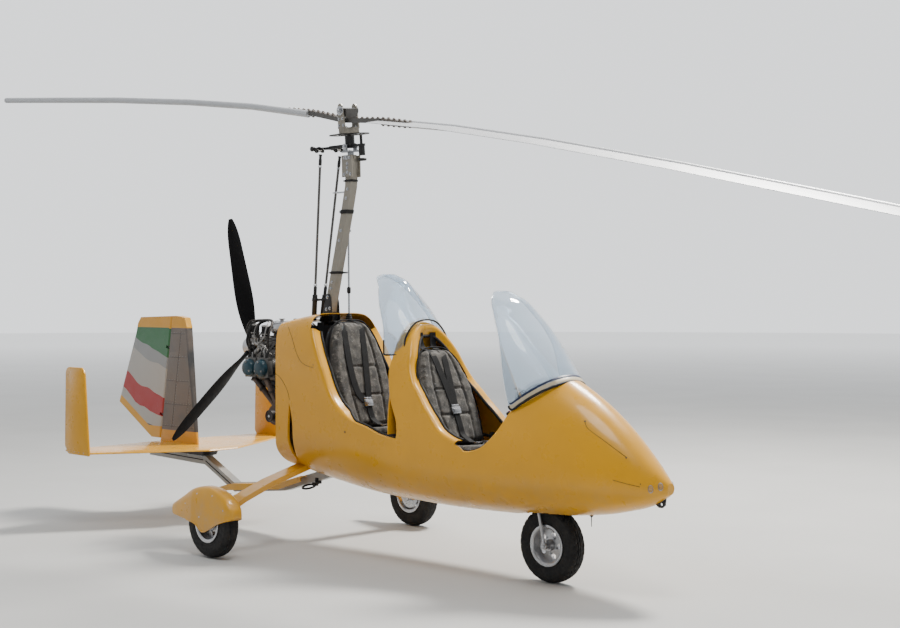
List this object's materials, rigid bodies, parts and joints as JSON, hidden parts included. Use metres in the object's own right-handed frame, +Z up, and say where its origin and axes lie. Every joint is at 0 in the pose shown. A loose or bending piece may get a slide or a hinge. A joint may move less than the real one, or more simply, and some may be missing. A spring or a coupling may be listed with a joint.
{
  "type": "open tandem gyrocopter",
  "caption": "Open tandem-seat gyrocopter with a slim composite pod, mast-mounted teetering rotor, pusher propeller, twin-finned tail and faired main wheels.",
  "frame": {"origin": "on the ground under the middle of the parked aircraft's bounding box", "axes": "+X towards the nose, +Y to port, +Z up"},
  "size_m": [8.1364, 1.781, 3.1814],
  "materials": {
    "yellow_paint": "gloss lacquer over composite",
    "black_composite": "satin",
    "clear_screen": "clear polished acrylic",
    "seat_fabric": "mottled woven",
    "silver_metal": "satin",
    "mast_metal": "satin lacquer over metal",
    "steel": "satin",
    "dark_steel": "satin black",
    "tyre": "matte",
    "engine_grey": "cast, used only for its look",
    "teal_cover": "gloss",
    "blade_white": "satin anodised",
    "tail_paint": "gloss with coloured bands",
    "prop_black": "satin"
  },
  "bodies": {
    "airframe": {"axle_knuckles": "silver_metal", "cockpit_floor": "black_composite", "control_sticks": "dark_steel", "end_fins": "tail_paint", "engine_block": "engine_grey", "engine_cylinders": "teal_cover", "engine_mount": "dark_steel", "exhaust": "dark_steel", "fin": "tail_paint", "firewall": "silver_metal", "front_seat_cushion": "seat_fabric", "front_seat_pan": "black_composite", "front_windscreen": "clear_screen", "gear_leg": "yellow_paint", "instrument_panel": "black_composite", "intake_boxes": "dark_steel", "keel_cover": "yellow_paint", "keel_tube": "steel", "left_spat": "yellow_paint", "mast": "mast_metal", "mast_head_plates": "silver_metal", "pod_tub": "yellow_paint", "prerotator_shaft": "steel", "rear_cowls": "yellow_paint", "rear_instrument_panel": "black_composite", "rear_seat_cushion": "seat_fabric", "rear_seat_pan": "black_composite", "rear_windscreen": "clear_screen", "reduction_gearbox": "engine_grey", "right_spat": "yellow_paint", "rudder_pedals": "dark_steel", "saddle": "yellow_paint", "saddle_wall": "black_composite", "stabilizer": "yellow_paint", "steering_head": "dark_steel", "tail_bracket": "dark_steel", "tow_eye": "dark_steel"},
    "head_roll": {"head_roll_yoke": "silver_metal"},
    "head_pitch": {"head_pitch_block": "silver_metal"},
    "rotor_head": {"ring_gear": "steel", "rotor_towers": "silver_metal"},
    "rotor_blades": {"hub_bar": "silver_metal", "forward_blade": "blade_white", "aft_blade": "blade_white"},
    "control_rods": {"control_rods": "dark_steel"},
    "propeller": {"propeller_hub": "silver_metal", "propeller_blades": "prop_black"},
    "nose_leg": {"nose_fork": "silver_metal"},
    "nose_wheel": {"nose_rim": "silver_metal", "nose_tyre": "tyre"},
    "left_wheel": {"left_rim": "silver_metal", "left_tyre": "tyre"},
    "right_wheel": {"right_rim": "silver_metal", "right_tyre": "tyre"},
    "rudder": {"rudder": "tail_paint"}
  },
  "joints": [
    {"name": "head_roll", "type": "hinge", "parent": "airframe", "child": "head_roll", "pos_m": [0.03407, 0, 2.41], "axis": [1, 0, 0], "range_deg": [-13.5, 2.5]},
    {"name": "head_pitch", "type": "hinge", "parent": "head_roll", "child": "head_pitch", "pos_m": [0.03407, -0.00671, 2.47968], "axis": [0, -0.9954, -0.0958], "range_deg": [0, 18]},
    {"name": "rotor_spin", "type": "hinge", "parent": "head_pitch", "child": "rotor_head", "pos_m": [0.03407, -0.00671, 2.47968], "axis": [0, -0.0958, 0.9954], "continuous": true},
    {"name": "rotor_teeter", "type": "hinge", "parent": "rotor_head", "child": "rotor_blades", "pos_m": [0.03407, -0.0278, 2.69866], "axis": [0, 0.9954, 0.0958], "range_deg": [-19.4, 0.6]},
    {"name": "control_rods_slide", "type": "slide", "parent": "airframe", "child": "control_rods", "axis": [0.1139, 0, 0.9935], "range_m": [-0.08, 0.005]},
    {"name": "propeller_spin", "type": "hinge", "parent": "airframe", "child": "propeller", "pos_m": [-0.95393, 0, 1.218], "axis": [1, 0, 0], "continuous": true},
    {"name": "nose_steer", "type": "hinge", "parent": "airframe", "child": "nose_leg", "pos_m": [1.66207, 0, 0.205], "axis": [-0.2079, 0, 0.9781], "range_deg": [-21, 21]},
    {"name": "nose_wheel_spin", "type": "hinge", "parent": "nose_leg", "child": "nose_wheel", "pos_m": [1.66207, 0, 0.205], "axis": [0, 1, 0], "continuous": true},
    {"name": "left_wheel_spin", "type": "hinge", "parent": "airframe", "child": "left_wheel", "pos_m": [-0.26293, 0.8305, 0.205], "axis": [0, 1, 0], "continuous": true},
    {"name": "right_wheel_spin", "type": "hinge", "parent": "airframe", "child": "right_wheel", "pos_m": [-0.26293, -0.8305, 0.205], "axis": [0, 1, 0], "continuous": true},
    {"name": "rudder_turn", "type": "hinge", "parent": "airframe", "child": "rudder", "pos_m": [-2.01793, 0, 0.56], "axis": [0.1655, 0, 0.9862], "range_deg": [-27, 27]}
  ],
  "couplings": [
    {"joint": "control_rods_slide", "follows": "head_pitch", "m_per_rad": -0.236},
    {"joint": "nose_steer", "follows": "rudder_turn", "ratio": -0.74}
  ]
}
